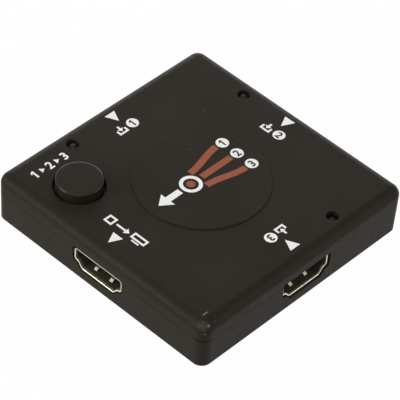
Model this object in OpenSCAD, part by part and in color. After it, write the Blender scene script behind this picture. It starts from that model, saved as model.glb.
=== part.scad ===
// Three-way video switch box: a flat square moulded case with a socket in the middle of each side,
// a round select button near one corner and an indicator lamp beside each input.
// The origin is the centre of the case's underside, +Z is up, and -X is the output side.

/* [Case] */
// Length of each side of the square case
case_side = 65; // [62:0.5:80]
// Height of the case without the button
case_h = 13.1; // [12.8:0.1:15]
// Radius of the upright corners and of the top edges
corner_r = 2.7; // [2:0.1:3.4]
// Thickness of the side walls
wall_t = 1.8; // [1.6:0.1:2.2]
// How far the walls lean in from the top edges down to the underside
wall_draft = 0.2; // [0:0.05:0.4]
// Thickness of the floor
floor_t = 1.2; // [1.2:0.1:1.5]
// Thickness of the roof
roof_t = 1.5; // [1.2:0.1:1.8]
// Height of the parting line between the two shells
seam_z = 8; // [7.6:0.1:8.2]
// Width and depth of the groove along the parting line
seam_groove = 0.06; // [0.05:0.01:0.2]
// Width and depth of that groove round the corners, where the halves meet less closely
seam_corner_groove = 0.2; // [0.1:0.05:0.3]
// Chamfer along the bottom edge
foot_chamfer = 0.3; // [0.2:0.1:0.6]
// Height of the lip that locates the upper shell
lip_h = 1; // [0.6:0.1:1.2]
// Thickness of the lip
lip_t = 0.8; // [0.6:0.1:0.9]
// Gap around the lip
lip_clear = 0.1; // [0.05:0.05:0.15]
// Diameter of the round pad raised on the roof
pad_d = 32; // [24:0.5:34]
// Height of the round pad
pad_h = 0.25; // [0.15:0.05:0.4]

/* [Board] */
// Thickness of the circuit board
board_t = 1; // [0.8:0.1:1.2]
// Height of the board above the floor
board_gap = 0.8; // [0.6:0.1:1.2]
// Gap between the board's edge and the walls
board_clear = 0.4; // [0.3:0.1:0.8]
// Corner radius of the board
board_corner_r = 2; // [1.5:0.5:3]
// Gap around a lead in its board hole
lead_clear = 0.15; // [0.1:0.05:0.2]
// How far leads stand out under the board
lead_tail = 0.4; // [0.2:0.1:0.5]
// Diameter of the floor posts that hold the board up under the sockets
post_d = 2; // [1.5:0.1:3]
// Distance of a post from the socket's middle
post_x = 3; // [2:0.1:4]
// Depth of a post behind the socket's rim
post_depth = 5; // [4:0.1:8]

/* [Screws] */
// Outer diameter of the case screws' thread
screw_d = 2; // [1.8:0.1:2.4]
// Length of the screws under the head
screw_len = 7; // [6:0.5:8]
// Diameter of the screw heads
screw_head_d = 3.6; // [3.4:0.1:4]
// Height of the screw heads
screw_head_h = 0.9; // [0.7:0.1:1]
// Depth of the heads below the underside
screw_head_recess = 0.15; // [0.1:0.05:0.2]
// Length of the screws' point
screw_point = 1.6; // [1.2:0.1:2]
// Diameter of the blunt end of the point
screw_point_d = 0.5; // [0.3:0.1:0.8]
// Length of each arm of the cross recess
drive_len = 2.1; // [1.8:0.1:2.4]
// Width of the cross recess
drive_w = 0.5; // [0.4:0.05:0.6]
// Depth of the cross recess
drive_depth = 0.5; // [0.4:0.05:0.6]
// Radial gap of the screw in the lower shell and the board
screw_clear = 0.2; // [0.15:0.05:0.3]
// Radial gap of the thread in its boss
thread_clear = 0.02; // [0.01:0.01:0.05]
// Depth of the boss's hole past the screw's point
thread_spare = 1; // [0.5:0.1:1.5]
// Outer diameter of the screw bosses
boss_d = 5; // [4.6:0.1:5.6]
// Gap between a boss and the walls
boss_clear = 0.3; // [0.3:0.1:0.6]

/* [Sockets] */
// Width inside a socket
socket_w = 14; // [13.8:0.1:14.4]
// Height inside a socket
socket_h = 4.55; // [4.4:0.05:4.8]
// Height of a socket's straight sides
socket_side_h = 2.8; // [2.4:0.1:3]
// Width of the ledge below each straight side
socket_ledge_w = 1.05; // [0.8:0.05:1.2]
// Drop across that ledge
socket_ledge_drop = 0.3; // [0.2:0.05:0.4]
// Width of the socket's flat bottom
socket_base_w = 9.5; // [9:0.1:10]
// Corner radius inside a socket
socket_round = 0.4; // [0.3:0.05:0.5]
// Sheet thickness of a socket's metal shell
sheet_t = 0.3; // [0.25:0.05:0.35]
// Length of the metal shell
socket_len = 10.6; // [10:0.2:12]
// Depth of the sockets' rims behind the case wall
socket_recess = 0.35; // [0.2:0.05:0.5]
// Further depth of the third input's socket, which sits back a little
input_3_set_back = 0.2; // [0:0.05:0.3]
// Distance of the third input's socket from the middle of its side
input_3_shift = 0.5; // [0:0.1:0.6]
// Gap between the metal shell and the case
socket_gap = 0.32; // [0.25:0.01:0.45]
// Width of the joint where the bent sheet meets along the bottom
sheet_joint_w = 0.08; // [0.05:0.01:0.15]
// Length along the socket of its board legs
leg_w = 1.2; // [0.8:0.1:1.6]
// Depth of the front and rear legs behind the rim
leg_depths = [4.2, 8.8]; // [3:0.1:10]

/* [Socket fingers] */
// Distance of a contact finger from the socket's middle
finger_x = 2.4; // [2:0.1:3]
// Width of a finger
finger_w = 0.9; // [0.7:0.1:1.2]
// Depth of the finger's free end behind the rim
finger_start = 1.6; // [1.4:0.05:1.8]
// Depth of the finger's crest
finger_crest = 2.3; // [2.2:0.05:2.8]
// Depth of the finger's root
finger_root = 6.6; // [6:0.1:7]
// Height of the crest above the wall
finger_rise = 0.55; // [0.3:0.05:0.6]
// Gap around a finger in its window
finger_clear = 0.2; // [0.15:0.05:0.3]

/* [Socket insides] */
// Width of the tongue
tongue_w = 11.2; // [10.6:0.1:11.6]
// Thickness of the tongue
tongue_t = 1.1; // [1:0.1:1.3]
// Height of the tongue's middle above the socket's middle
tongue_lift = 0.2; // [0:0.1:0.4]
// Depth of the tongue's tip behind the rim
tongue_set_back = 2; // [1.8:0.1:2.4]
// Depth at which the tongue joins the moulded block
block_front = 7.4; // [7:0.1:8]
// How far the block stands out behind the metal shell
block_tail = 0.6; // [0.5:0.1:1]
// Gap between the block and the metal shell
block_clear = 0.05; // [0.03:0.01:0.1]
// Number of contacts on top of the tongue
upper_contacts = 10; // [8:1:10]
// Spacing of the contacts in a row
contact_pitch = 1; // [0.95:0.05:1.05]
// Width of a contact
contact_w = 0.3; // [0.25:0.05:0.35]
// Thickness of a contact
contact_t = 0.15; // [0.1:0.01:0.2]
// Distance from the tongue's tip to the contacts
contact_set_back = 0.4; // [0.3:0.1:0.8]
// Length of a contact's solder foot
contact_foot = 0.9; // [0.7:0.1:1.2]

/* [Select button] */
// Diameter of the button's cap
button_d = 11; // [10.4:0.1:12]
// Radial gap of the cap in the roof
button_gap = 0.5; // [0.3:0.05:0.6]
// Height of the cap above the roof
button_rise = 2.3; // [1.6:0.1:2.6]
// Radius of the cap's top edge
button_edge_r = 0.6; // [0.3:0.05:0.8]
// Wall thickness of the cap
button_wall = 1.2; // [1:0.1:1.4]
// How far the flange reaches past the hole
button_flange = 0.8; // [0.6:0.1:1]
// Thickness of the flange
button_flange_t = 0.8; // [0.6:0.1:1]
// Gap between the flange and the roof
button_play = 0.1; // [0.05:0.05:0.15]
// Diameter of the stem under the cap
button_stem_d = 3; // [2.6:0.1:3.4]
// Depth of the guide collar under the roof
guide_h = 2.2; // [1.8:0.1:2.4]
// Wall thickness of the guide collar
guide_t = 1; // [0.8:0.1:1.2]
// Distance from the output side to the button's middle
button_from_output = 11; // [10.8:0.1:12]
// Distance from the first input's side to the button's middle
button_from_input = 15.4; // [14.5:0.1:16]

/* [Push switch] */
// Side of the push switch's base
switch_side = 6; // [5.8:0.1:6.2]
// Height of the base
switch_base_h = 3.2; // [3:0.1:3.4]
// Thickness of the switch's cover plate
switch_cover_t = 0.3; // [0.2:0.05:0.4]
// Height of the switch to the top of its plunger
switch_h = 4.3; // [4.2:0.1:5]
// Diameter of the plunger
plunger_d = 3.5; // [3.2:0.1:3.6]
// Radial gap of the plunger in the cover plate
plunger_clear = 0.1; // [0.05:0.01:0.15]
// Diameter of the plunger's collar
plunger_collar_d = 4.4; // [4.2:0.1:4.5]
// Thickness of the plunger's collar
plunger_collar_t = 0.6; // [0.5:0.1:0.7]
// Diameter of the plunger's tip
plunger_tip_d = 1.6; // [1.2:0.1:1.8]
// Gap above the collar and below the tip
plunger_play = 0.05; // [0.03:0.01:0.1]
// Diameter of the pocket in the base
pocket_d = 5; // [4.9:0.1:5.2]
// Height of the pocket's floor above the board
pocket_z = 0.8; // [0.7:0.1:1]
// Diameter of the snap dome
dome_d = 4.6; // [4.4:0.1:4.7]
// Height of the snap dome
dome_h = 0.6; // [0.5:0.05:0.7]
// Thickness of the snap dome
dome_t = 0.1; // [0.08:0.01:0.12]
// Diameter of the melted pegs that hold the cover plate
peg_d = 0.8; // [0.7:0.1:0.9]
// Distance of a peg from the base's middle, along each side
peg_x = 2.35; // [2.3:0.05:2.4]
// Radial gap of a peg in the cover plate
peg_clear = 0.05; // [0.03:0.01:0.1]
// Height and overhang of a peg's melted head
peg_head = 0.2; // [0.1:0.05:0.25]
// Spacing of the terminals along a side
terminal_pitch = 4.5; // [4.3:0.1:4.6]
// Width of a terminal
terminal_w = 0.7; // [0.6:0.1:0.8]
// Sheet thickness of a terminal
terminal_t = 0.3; // [0.25:0.05:0.35]
// Height of a terminal's shoulder above the board
terminal_z = 0.7; // [0.6:0.1:1]

/* [Lamps] */
// Diameter of an indicator lamp
lamp_d = 2.8; // [2.6:0.1:3]
// Radial gap of a lamp in the roof
lamp_clear = 0.1; // [0.1:0.05:0.2]
// Length of a lamp
lamp_len = 5.3; // [4.8:0.1:5.5]
// Diameter of a lamp's flange
lamp_flange_d = 3.6; // [3.4:0.1:3.8]
// Thickness of a lamp's flange
lamp_flange_t = 1; // [0.8:0.1:1.2]
// Depth of a lamp's tip below the roof
lamp_recess = 0.3; // [0.2:0.1:1]
// Extra depth of the third input's lamp
lamp_3_drop = 0.4; // [0:0.1:0.6]
// Distance of a lamp from the middle of its side
lamp_along = 13.2; // [12:0.1:15]
// Distance from the case's side to a lamp's middle
lamp_inset = 4.7; // [4.4:0.1:5.2]
// Spacing of a lamp's leads
lamp_lead_pitch = 2.54; // [2.5:0.01:2.6]
// Side of a lamp's square lead
lamp_lead_w = 0.45; // [0.4:0.05:0.5]

/* [Chips] */
// Side of the switching chip
chip_side = 10; // [9:0.5:11]
// Thickness of the switching chip
chip_t = 1.4; // [1.2:0.1:1.6]
// Leads on each side of the switching chip
chip_leads = 16; // [12:1:16]
// Spacing of the switching chip's leads
chip_pitch = 0.5; // [0.48:0.01:0.52]
// Width of the switching chip's leads
chip_lead_w = 0.22; // [0.2:0.01:0.26]
// Length and width of the control chip
control_size = [4.9, 3.9]; // [3.6:0.1:5.2]
// Thickness of the control chip
control_t = 1.5; // [1.4:0.1:1.7]
// Leads on each long side of the control chip
control_lead_count = 4; // [3:1:4]
// Spacing of the control chip's leads
control_pitch = 1.27; // [1.2:0.01:1.3]
// Width of the control chip's leads
control_lead_w = 0.42; // [0.36:0.02:0.5]
// Place of the control chip on the board
control_at = [-13, -13]; // [-14:0.5:-11]
// Length and width of the voltage regulator
regulator_size = [6.5, 3.5]; // [3.3:0.1:6.7]
// Thickness of the voltage regulator
regulator_t = 1.6; // [1.5:0.1:1.8]
// Leads on the regulator's narrow row
regulator_lead_count = 3; // [2:1:3]
// Spacing of the regulator's leads
regulator_pitch = 2.3; // [2.2:0.05:2.4]
// Width of the regulator's leads
regulator_lead_w = 0.75; // [0.6:0.05:0.9]
// Width of the regulator's wide tab
regulator_tab_w = 3.2; // [2.9:0.1:3.4]
// Place of the regulator on the board
regulator_at = [13, -13]; // [11:0.5:14]
// Gap between a chip and the board
chip_lift = 0.1; // [0.05:0.05:0.15]
// Sheet thickness of chip leads
chip_lead_t = 0.15; // [0.1:0.01:0.2]
// How far chip leads reach out
chip_lead_reach = 1; // [0.8:0.1:1.2]
// Distance from a chip's side to the knee of its leads
chip_lead_knee = 0.5; // [0.4:0.05:0.6]
// Diameter of the round mark by a chip's first lead
chip_mark_d = 0.9; // [0.7:0.1:1]
// Distance of the mark's middle from the chip's sides
chip_mark_inset = 1.1; // [0.9:0.1:1.2]
// Depth of the mark
chip_mark_depth = 0.1; // [0.05:0.05:0.2]

/* [Small parts] */
// Length, width and height of a supply diode
diode_size = [2.7, 1.6, 1.1]; // [1:0.1:3]
// Place of a supply diode from the middle of its input's side
diode_at = [-11.5, 11.5]; // [-12.5:0.5:13]
// Diameter of the bulk capacitor's can
can_d = 5; // [4:0.1:5.3]
// Height of the bulk capacitor
can_h = 5.4; // [4.5:0.1:5.8]
// Thickness of the bulk capacitor's base
can_base_t = 0.9; // [0.7:0.1:1.2]
// Place of the bulk capacitor on the board
can_at = [14, 14]; // [13:0.5:15]
// Length, width and height of a ceramic capacitor
ceramic_size = [2, 1.25, 0.9]; // [0.8:0.05:2.2]
// Distance of the ceramic capacitors from the board's middle, along and out
ceramic_at = [4, 9.5]; // [3:0.5:10.5]
// Length, width and height of a resistor
resistor_size = [1.6, 0.8, 0.45]; // [0.4:0.05:1.8]
// Spacing of the resistors in a row
resistor_pitch = 3; // [2.4:0.1:3.2]
// Resistors in the row behind each socket
resistor_count = 4; // [2:1:4]
// Distance from the board's middle to a row of resistors
resistor_row = 14; // [12.5:0.5:14.5]
// Length of the metal ends on small parts
end_len = 0.35; // [0.25:0.05:0.45]

/* [Hidden] */
$fn = 64;

// Turn about Z from the third input's side, which faces -Y, to each side
input_1_turn = 180;
input_2_turn = 90;
input_3_turn = 0;
output_turn = 270;
input_turns = [input_1_turn, input_2_turn, input_3_turn];
all_turns = [input_1_turn, input_2_turn, input_3_turn, output_turn];

// Overshoot of cutting shapes past the face they cut
cut = 1;
case_half = case_side / 2;
core_half = case_half - corner_r;
inner_half = case_half - wall_t;
inner_r = max(corner_r - wall_t, foot_chamfer);
ceiling_z = case_h - roof_t;

board_z = floor_t + board_gap;
board_top = board_z + board_t;
board_side = 2 * (inner_half - board_clear);
tail_z = board_z - lead_tail;

screw_x = inner_half - boss_clear - boss_d / 2;
screw_seat_z = screw_head_recess + screw_head_h;
screw_end_z = screw_seat_z + screw_len;

socket_z = board_top + sheet_t + socket_h / 2;
socket_back = socket_len + block_tail;
lower_contacts = upper_contacts - 1;
tongue_top = tongue_lift + tongue_t / 2;
tongue_bottom = tongue_lift - tongue_t / 2;
foot_z = board_top - socket_z;
leg_x = (socket_w + sheet_t) / 2;

button_at = [button_from_output - case_half, case_half - button_from_input];
button_hole_d = button_d + 2 * button_gap;
flange_d = button_hole_d + 2 * button_flange;
guide_d = flange_d + 2 * button_gap;
flange_top = ceiling_z - button_play;
button_top = case_h + button_rise;

switch_cover_z = board_top + switch_base_h;
plunger_top = board_top + switch_h;
collar_top = switch_cover_z - plunger_play;
pocket_floor = board_top + pocket_z;
terminal_x = (switch_side + terminal_t) / 2;

lamp_at = [lamp_along, lamp_inset - case_half];

// Corner points of the socket's inside, clockwise from the top right, about its middle
side_foot = socket_h / 2 - socket_side_h;
ledge_x = socket_w / 2 - socket_ledge_w;
socket_half = [
    [socket_w / 2, socket_h / 2],
    [socket_w / 2, side_foot],
    [ledge_x, side_foot - socket_ledge_drop],
    [socket_base_w / 2, -socket_h / 2]
];
socket_points = concat(
    socket_half,
    [for (i = [len(socket_half) - 1 : -1 : 0]) [-socket_half[i].x, socket_half[i].y]]
);

// Distance from the case's middle to the rim of the socket on a side
function rim_y(turn) = case_half - socket_recess - (turn == input_3_turn ? input_3_set_back : 0);

// Distance of a socket from the middle of its side
function socket_x(turn) = turn == input_3_turn ? input_3_shift : 0;

// Height of the foot of an input's lamp
function lamp_foot(turn) = case_h - lamp_recess - lamp_len - (turn == input_3_turn ? lamp_3_drop : 0);

// How far the outer face of a wall leans in at a height below the round top edge
function lean(z) = wall_draft * (1 - z / (case_h - corner_r));

// Outward normal of the edge that leaves point i of a clockwise outline
function edge_normal(points, i) =
    let (n = len(points), d = points[(i + 1) % n] - points[i % n])
    [-d.y, d.x] / norm(d);

// Outline moved outwards by d, each corner to where its two moved edges meet
function grown(points, d) = [
    for (i = [0 : len(points) - 1])
        let (a = edge_normal(points, i + len(points) - 1), b = edge_normal(points, i))
        points[i] + d * (a + b) / (1 + a * b)
];

// Outline with every corner replaced by a tangent arc of radius r in the given number of steps
function rounded(points, r, steps = 4) = [
    for (i = [0 : len(points) - 1])
        let (
            a = edge_normal(points, i + len(points) - 1),
            b = edge_normal(points, i),
            turn = sign(a.y * b.x - a.x * b.y),
            middle = points[i] - turn * r * (a + b) / (1 + a * b)
        )
        for (k = [0 : steps])
            let (mix = a * (1 - k / steps) + b * k / steps)
            middle + turn * r * mix / norm(mix)
];

// Helpers that place or extrude what is inside them

module at_side(turn) {
    rotate([0, 0, turn]) children();
}

module at_rim(turn) {
    at_side(turn) translate([socket_x(turn), -rim_y(turn), 0]) children();
}

module at_socket(turn) {
    at_rim(turn) translate([0, 0, socket_z]) children();
}

module at_screws() {
    for (x = [-screw_x, screw_x], y = [-screw_x, screw_x]) translate([x, y, 0]) children();
}

module at_button() {
    translate([button_at.x, button_at.y, 0]) children();
}

module at_lamp(turn) {
    at_side(turn) translate([lamp_at.x, lamp_at.y, 0]) children();
}

// Outline in X and Z, extruded along +Y
module extrude_deep(depth) {
    translate([0, depth, 0]) rotate([90, 0, 0]) linear_extrude(depth) children();
}

// Outline in Y and Z, extruded along X about its middle
module extrude_wide(width) {
    rotate([90, 0, 90]) linear_extrude(width, center = true) children();
}

module rounded_square(side, r) {
    square([side - 2 * r, side], center = true);
    square([side, side - 2 * r], center = true);
    for (x = [r - side / 2, side / 2 - r], y = [r - side / 2, side / 2 - r])
        translate([x, y]) circle(r);
}

module slab(side, r, z0, z1) {
    translate([0, 0, z0]) linear_extrude(z1 - z0) rounded_square(side, r);
}

// Section of the case outside its upright corner axes: bottom chamfer, leaning wall, round top edge
module edge_section(z0, z1) {
    intersection() {
        translate([0, z0]) square([corner_r, z1 - z0]);
        union() {
            polygon([
                [0, 0], [corner_r - lean(0) - foot_chamfer, 0],
                [corner_r - lean(foot_chamfer), foot_chamfer],
                [corner_r, case_h - corner_r], [0, case_h - corner_r]
            ]);
            translate([0, case_h - corner_r]) intersection() {
                circle(corner_r);
                square(corner_r);
            }
        }
    }
}

// Square block between two heights, with the section given as a child along its sides and corners
module edged_block(z0, z1) {
    translate([-core_half, -core_half, z0]) cube([2 * core_half, 2 * core_half, z1 - z0]);
    for (turn = all_turns) at_side(turn)
        translate([core_half, 0, 0]) rotate([90, 0, 0])
            linear_extrude(2 * core_half, center = true) children();
    round_corners() children();
}

// Section given as a child, turned about the axes of the case's upright corners
module round_corners() {
    for (turn = all_turns) at_side(turn)
        translate([core_half, core_half, 0]) rotate_extrude(angle = 90) children();
}

// Section of a groove above the parting line
module seam_section(size) {
    translate([corner_r - lean(seam_z) - size, seam_z - cut]) square([cut, cut + size]);
}

// Opening in the case wall around a socket
module socket_opening(turn) {
    at_side(turn) translate([socket_x(turn), -case_half - cut, socket_z])
        extrude_deep(wall_t + 2 * cut)
            polygon(rounded(grown(socket_points, sheet_t + socket_gap), socket_round));
}

// Ring that stands on the inner part of the lower wall, or with a gap the rebate that it goes into
module lip(gap) {
    difference() {
        slab(2 * (inner_half + lip_t + gap), inner_r + lip_t + gap, seam_z - cut, seam_z + lip_h + gap);
        slab(2 * inner_half, inner_r, seam_z - 2 * cut, seam_z + lip_h + gap + cut);
    }
}

// Moulded case

module upper_shell() {
    color([0.16, 0.155, 0.145]) difference() {
        union() {
            difference() {
                edged_block(seam_z, case_h) difference() {
                    edge_section(seam_z, case_h);
                    seam_section(seam_groove);
                }
                round_corners() seam_section(seam_corner_groove);
                slab(2 * inner_half, inner_r, seam_z - cut, ceiling_z);
                lip(lip_clear);
                for (turn = all_turns) socket_opening(turn);
            }
            translate([0, 0, case_h]) cylinder(d = pad_d, h = pad_h);
            at_screws() translate([0, 0, board_top]) cylinder(d = boss_d, h = ceiling_z - board_top);
            at_button() translate([0, 0, ceiling_z - guide_h])
                cylinder(d = guide_d + 2 * guide_t, h = guide_h);
        }
        at_screws() translate([0, 0, board_top - cut])
            cylinder(d = screw_d + 2 * thread_clear, h = cut + screw_end_z + thread_spare - board_top);
        at_button() {
            translate([0, 0, ceiling_z - guide_h - cut]) cylinder(d = guide_d, h = guide_h + cut);
            translate([0, 0, ceiling_z - cut]) cylinder(d = button_hole_d, h = roof_t + 2 * cut);
        }
        for (turn = input_turns) at_lamp(turn) translate([0, 0, ceiling_z - cut])
            cylinder(d = lamp_d + 2 * lamp_clear, h = roof_t + 2 * cut);
    }
}

module lower_shell() {
    color([0.16, 0.155, 0.145]) difference() {
        union() {
            difference() {
                edged_block(0, seam_z) edge_section(0, seam_z);
                slab(2 * inner_half, inner_r, floor_t, seam_z + cut);
            }
            difference() {
                lip(0);
                for (turn = all_turns) at_side(turn)
                    translate([socket_x(turn) - socket_w / 2 - cut, -case_half, seam_z])
                        cube([socket_w + 2 * cut, wall_t + cut, lip_h + cut]);
            }
            at_screws() cylinder(d = boss_d, h = board_z);
            for (turn = all_turns, x = [-post_x, post_x]) at_rim(turn)
                translate([x, post_depth, 0]) cylinder(d = post_d, h = board_z);
        }
        for (turn = all_turns) socket_opening(turn);
        at_screws() {
            translate([0, 0, -cut]) cylinder(d = screw_head_d + 2 * screw_clear, h = screw_seat_z + cut);
            cylinder(d = screw_d + 2 * screw_clear, h = board_z + cut);
        }
    }
}

module case_screws() {
    color([0.3, 0.3, 0.31]) at_screws() difference() {
        union() {
            translate([0, 0, screw_head_recess]) cylinder(d = screw_head_d, h = screw_head_h);
            translate([0, 0, screw_seat_z]) cylinder(d = screw_d, h = screw_len - screw_point);
            translate([0, 0, screw_end_z - screw_point])
                cylinder(d1 = screw_d, d2 = screw_point_d, h = screw_point);
        }
        for (turn = [0, 90]) rotate([0, 0, turn])
            translate([-drive_len / 2, -drive_w / 2, -cut])
                cube([drive_len, drive_w, cut + screw_head_recess + drive_depth]);
    }
}

// Circuit board with its holes for screws and leads
module main_board() {
    color([0.05, 0.27, 0.16]) difference() {
        slab(board_side, board_corner_r, board_z, board_top);
        at_screws() translate([0, 0, board_z - cut])
            cylinder(d = screw_d + 2 * screw_clear, h = board_t + 2 * cut);
        for (turn = all_turns, x = [-leg_x, leg_x], depth = leg_depths) at_rim(turn)
            translate([x, depth, board_z + board_t / 2])
                cube([sheet_t + 2 * lead_clear, leg_w + 2 * lead_clear, board_t + 2 * cut], center = true);
        for (turn = input_turns) at_lamp(turn)
            for (x = [-lamp_lead_pitch / 2, lamp_lead_pitch / 2]) translate([x, 0, board_z - cut])
                cylinder(d = sqrt(2) * lamp_lead_w + 2 * lead_clear, h = board_t + 2 * cut);
        at_button() for (x = [-terminal_x, terminal_x], y = [-terminal_pitch / 2, terminal_pitch / 2])
            translate([x, y, board_z - cut])
                cylinder(d = norm([terminal_w, terminal_t]) + 2 * lead_clear, h = board_t + 2 * cut);
    }
}

// Sockets: bent sheet shell, moulded block with its tongue, and two rows of contacts

module finger_windows() {
    length = finger_root - finger_start + 2 * finger_clear;
    for (x = [-finger_x, finger_x], z = [-socket_h, socket_h] / 2)
        translate([x, finger_start - finger_clear + length / 2, z])
            cube([finger_w + 2 * finger_clear, length, 2 * (sheet_t + finger_clear)], center = true);
}

// Springy finger on the socket's floor, bent up to its crest, with its root in the sheet
module finger() {
    top = [[finger_start, 0], [finger_crest, finger_rise], [finger_root + 2 * finger_clear, 0]];
    under = [for (i = [len(top) - 1 : -1 : 0]) top[i] - [0, sheet_t]];
    extrude_wide(finger_w) polygon(concat(top, under));
}

module socket_shell(turn) {
    color([0.78, 0.74, 0.66]) at_socket(turn) {
        difference() {
            extrude_deep(socket_len) difference() {
                polygon(rounded(grown(socket_points, sheet_t), socket_round + sheet_t));
                polygon(rounded(socket_points, socket_round));
            }
            finger_windows();
            translate([-sheet_joint_w / 2, -cut, -socket_h / 2 - sheet_t - cut])
                cube([sheet_joint_w, socket_len + 2 * cut, sheet_t + 2 * cut]);
        }
        for (x = [-finger_x, finger_x]) {
            translate([x, 0, -socket_h / 2]) finger();
            translate([x, 0, socket_h / 2]) mirror([0, 0, 1]) finger();
        }
        for (x = [-leg_x, leg_x], depth = leg_depths)
            translate([x - sheet_t / 2, depth - leg_w / 2, tail_z - socket_z])
                cube([sheet_t, leg_w, socket_z - tail_z]);
    }
}

// Contact strip along the tongue, down behind the block and out to a foot on the board
module contact(top_z) {
    extrude_wide(contact_w) polygon([
        [tongue_set_back + contact_set_back, top_z - contact_t],
        [tongue_set_back + contact_set_back, top_z],
        [socket_back + contact_t, top_z],
        [socket_back + contact_t, foot_z + contact_t],
        [socket_back + contact_foot, foot_z + contact_t],
        [socket_back + contact_foot, foot_z],
        [socket_back, foot_z],
        [socket_back, top_z - contact_t]
    ]);
}

module contact_row(count, top_z) {
    for (i = [0 : count - 1]) translate([(i - (count - 1) / 2) * contact_pitch, 0, 0]) contact(top_z);
}

module contact_rows() {
    contact_row(upper_contacts, tongue_top);
    contact_row(lower_contacts, tongue_bottom + contact_t);
}

module socket_contacts(turn) {
    color([0.83, 0.68, 0.3]) at_socket(turn) contact_rows();
}

module socket_block(turn) {
    color([0.07, 0.07, 0.075]) at_socket(turn) difference() {
        union() {
            translate([0, block_front, 0]) extrude_deep(socket_back - block_front)
                polygon(rounded(grown(socket_points, -block_clear), socket_round));
            translate([-tongue_w / 2, tongue_set_back, tongue_bottom])
                cube([tongue_w, block_front - tongue_set_back, tongue_t]);
        }
        contact_rows();
    }
}

module input_1_socket_shell() { socket_shell(input_1_turn); }
module input_2_socket_shell() { socket_shell(input_2_turn); }
module input_3_socket_shell() { socket_shell(input_3_turn); }
module output_socket_shell() { socket_shell(output_turn); }
module input_1_socket_block() { socket_block(input_1_turn); }
module input_2_socket_block() { socket_block(input_2_turn); }
module input_3_socket_block() { socket_block(input_3_turn); }
module output_socket_block() { socket_block(output_turn); }
module input_1_socket_contacts() { socket_contacts(input_1_turn); }
module input_2_socket_contacts() { socket_contacts(input_2_turn); }
module input_3_socket_contacts() { socket_contacts(input_3_turn); }
module output_socket_contacts() { socket_contacts(output_turn); }

// Select button and the push switch under it

module select_button() {
    color([0.13, 0.127, 0.12]) at_button() {
        rotate_extrude() difference() {
            union() {
                translate([0, flange_top - button_flange_t]) square([flange_d / 2, button_flange_t]);
                translate([0, flange_top]) square([button_d / 2, button_top - button_edge_r - flange_top]);
                translate([0, button_top - button_edge_r])
                    square([button_d / 2 - button_edge_r, button_edge_r]);
                translate([button_d / 2 - button_edge_r, button_top - button_edge_r]) intersection() {
                    circle(button_edge_r);
                    square(button_edge_r);
                }
            }
            translate([0, flange_top - button_flange_t - cut]) square([
                button_d / 2 - button_wall,
                button_top - button_wall - flange_top + button_flange_t + cut
            ]);
        }
        translate([0, 0, plunger_top])
            cylinder(d = button_stem_d, h = button_top - button_wall - plunger_top);
    }
}

module switch_base() {
    color([0.09, 0.09, 0.095]) at_button() {
        difference() {
            translate([-switch_side / 2, -switch_side / 2, board_top])
                cube([switch_side, switch_side, switch_base_h]);
            translate([0, 0, pocket_floor]) cylinder(d = pocket_d, h = switch_base_h);
        }
        for (x = [-peg_x, peg_x], y = [-peg_x, peg_x]) translate([x, y, switch_cover_z]) {
            cylinder(d = peg_d, h = switch_cover_t);
            translate([0, 0, switch_cover_t])
                cylinder(d1 = peg_d + 2 * peg_head, d2 = peg_d, h = peg_head);
        }
    }
}

module switch_cover() {
    color([0.72, 0.73, 0.75]) at_button() translate([0, 0, switch_cover_z]) difference() {
        translate([-switch_side / 2, -switch_side / 2, 0]) cube([switch_side, switch_side, switch_cover_t]);
        translate([0, 0, -cut]) cylinder(d = plunger_d + 2 * plunger_clear, h = switch_cover_t + 2 * cut);
        for (x = [-peg_x, peg_x], y = [-peg_x, peg_x]) translate([x, y, -cut])
            cylinder(d = peg_d + 2 * peg_clear, h = switch_cover_t + 2 * cut);
    }
}

module switch_plunger() {
    tip_z = pocket_floor + dome_h + plunger_play;
    color([0.1, 0.1, 0.1]) at_button() {
        translate([0, 0, collar_top]) cylinder(d = plunger_d, h = plunger_top - collar_top);
        translate([0, 0, collar_top - plunger_collar_t])
            cylinder(d = plunger_collar_d, h = plunger_collar_t);
        translate([0, 0, tip_z]) cylinder(d = plunger_tip_d, h = collar_top - tip_z);
    }
}

module switch_dome() {
    dome_r = (pow(dome_d / 2, 2) + pow(dome_h, 2)) / (2 * dome_h);
    color([0.8, 0.8, 0.82]) at_button() intersection() {
        translate([0, 0, pocket_floor + dome_h - dome_r]) difference() {
            sphere(dome_r);
            sphere(dome_r - dome_t);
        }
        translate([0, 0, pocket_floor]) cylinder(d = pocket_d, h = 2 * dome_h);
    }
}

module switch_terminals() {
    color([0.75, 0.75, 0.77]) at_button()
        for (x = [-terminal_x, terminal_x], y = [-terminal_pitch / 2, terminal_pitch / 2])
            translate([x - terminal_t / 2, y - terminal_w / 2, tail_z])
                cube([terminal_t, terminal_w, board_top + terminal_z - tail_z]);
}

// Indicator lamps

module lamp(turn) {
    straight = lamp_len - lamp_d / 2;
    color([0.42, 0.12, 0.1]) at_lamp(turn) translate([0, 0, lamp_foot(turn)]) rotate_extrude() {
        square([lamp_d / 2, straight]);
        square([lamp_flange_d / 2, lamp_flange_t]);
        translate([0, straight]) intersection() {
            circle(lamp_d / 2);
            square(lamp_d / 2);
        }
    }
}

module lamp_1() { lamp(input_1_turn); }
module lamp_2() { lamp(input_2_turn); }
module lamp_3() { lamp(input_3_turn); }

module lamp_leads() {
    color([0.75, 0.75, 0.77]) for (turn = input_turns) at_lamp(turn)
        for (x = [-lamp_lead_pitch / 2, lamp_lead_pitch / 2])
            translate([x - lamp_lead_w / 2, -lamp_lead_w / 2, tail_z])
                cube([lamp_lead_w, lamp_lead_w, lamp_foot(turn) - tail_z]);
}

// Chips on the board

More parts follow.
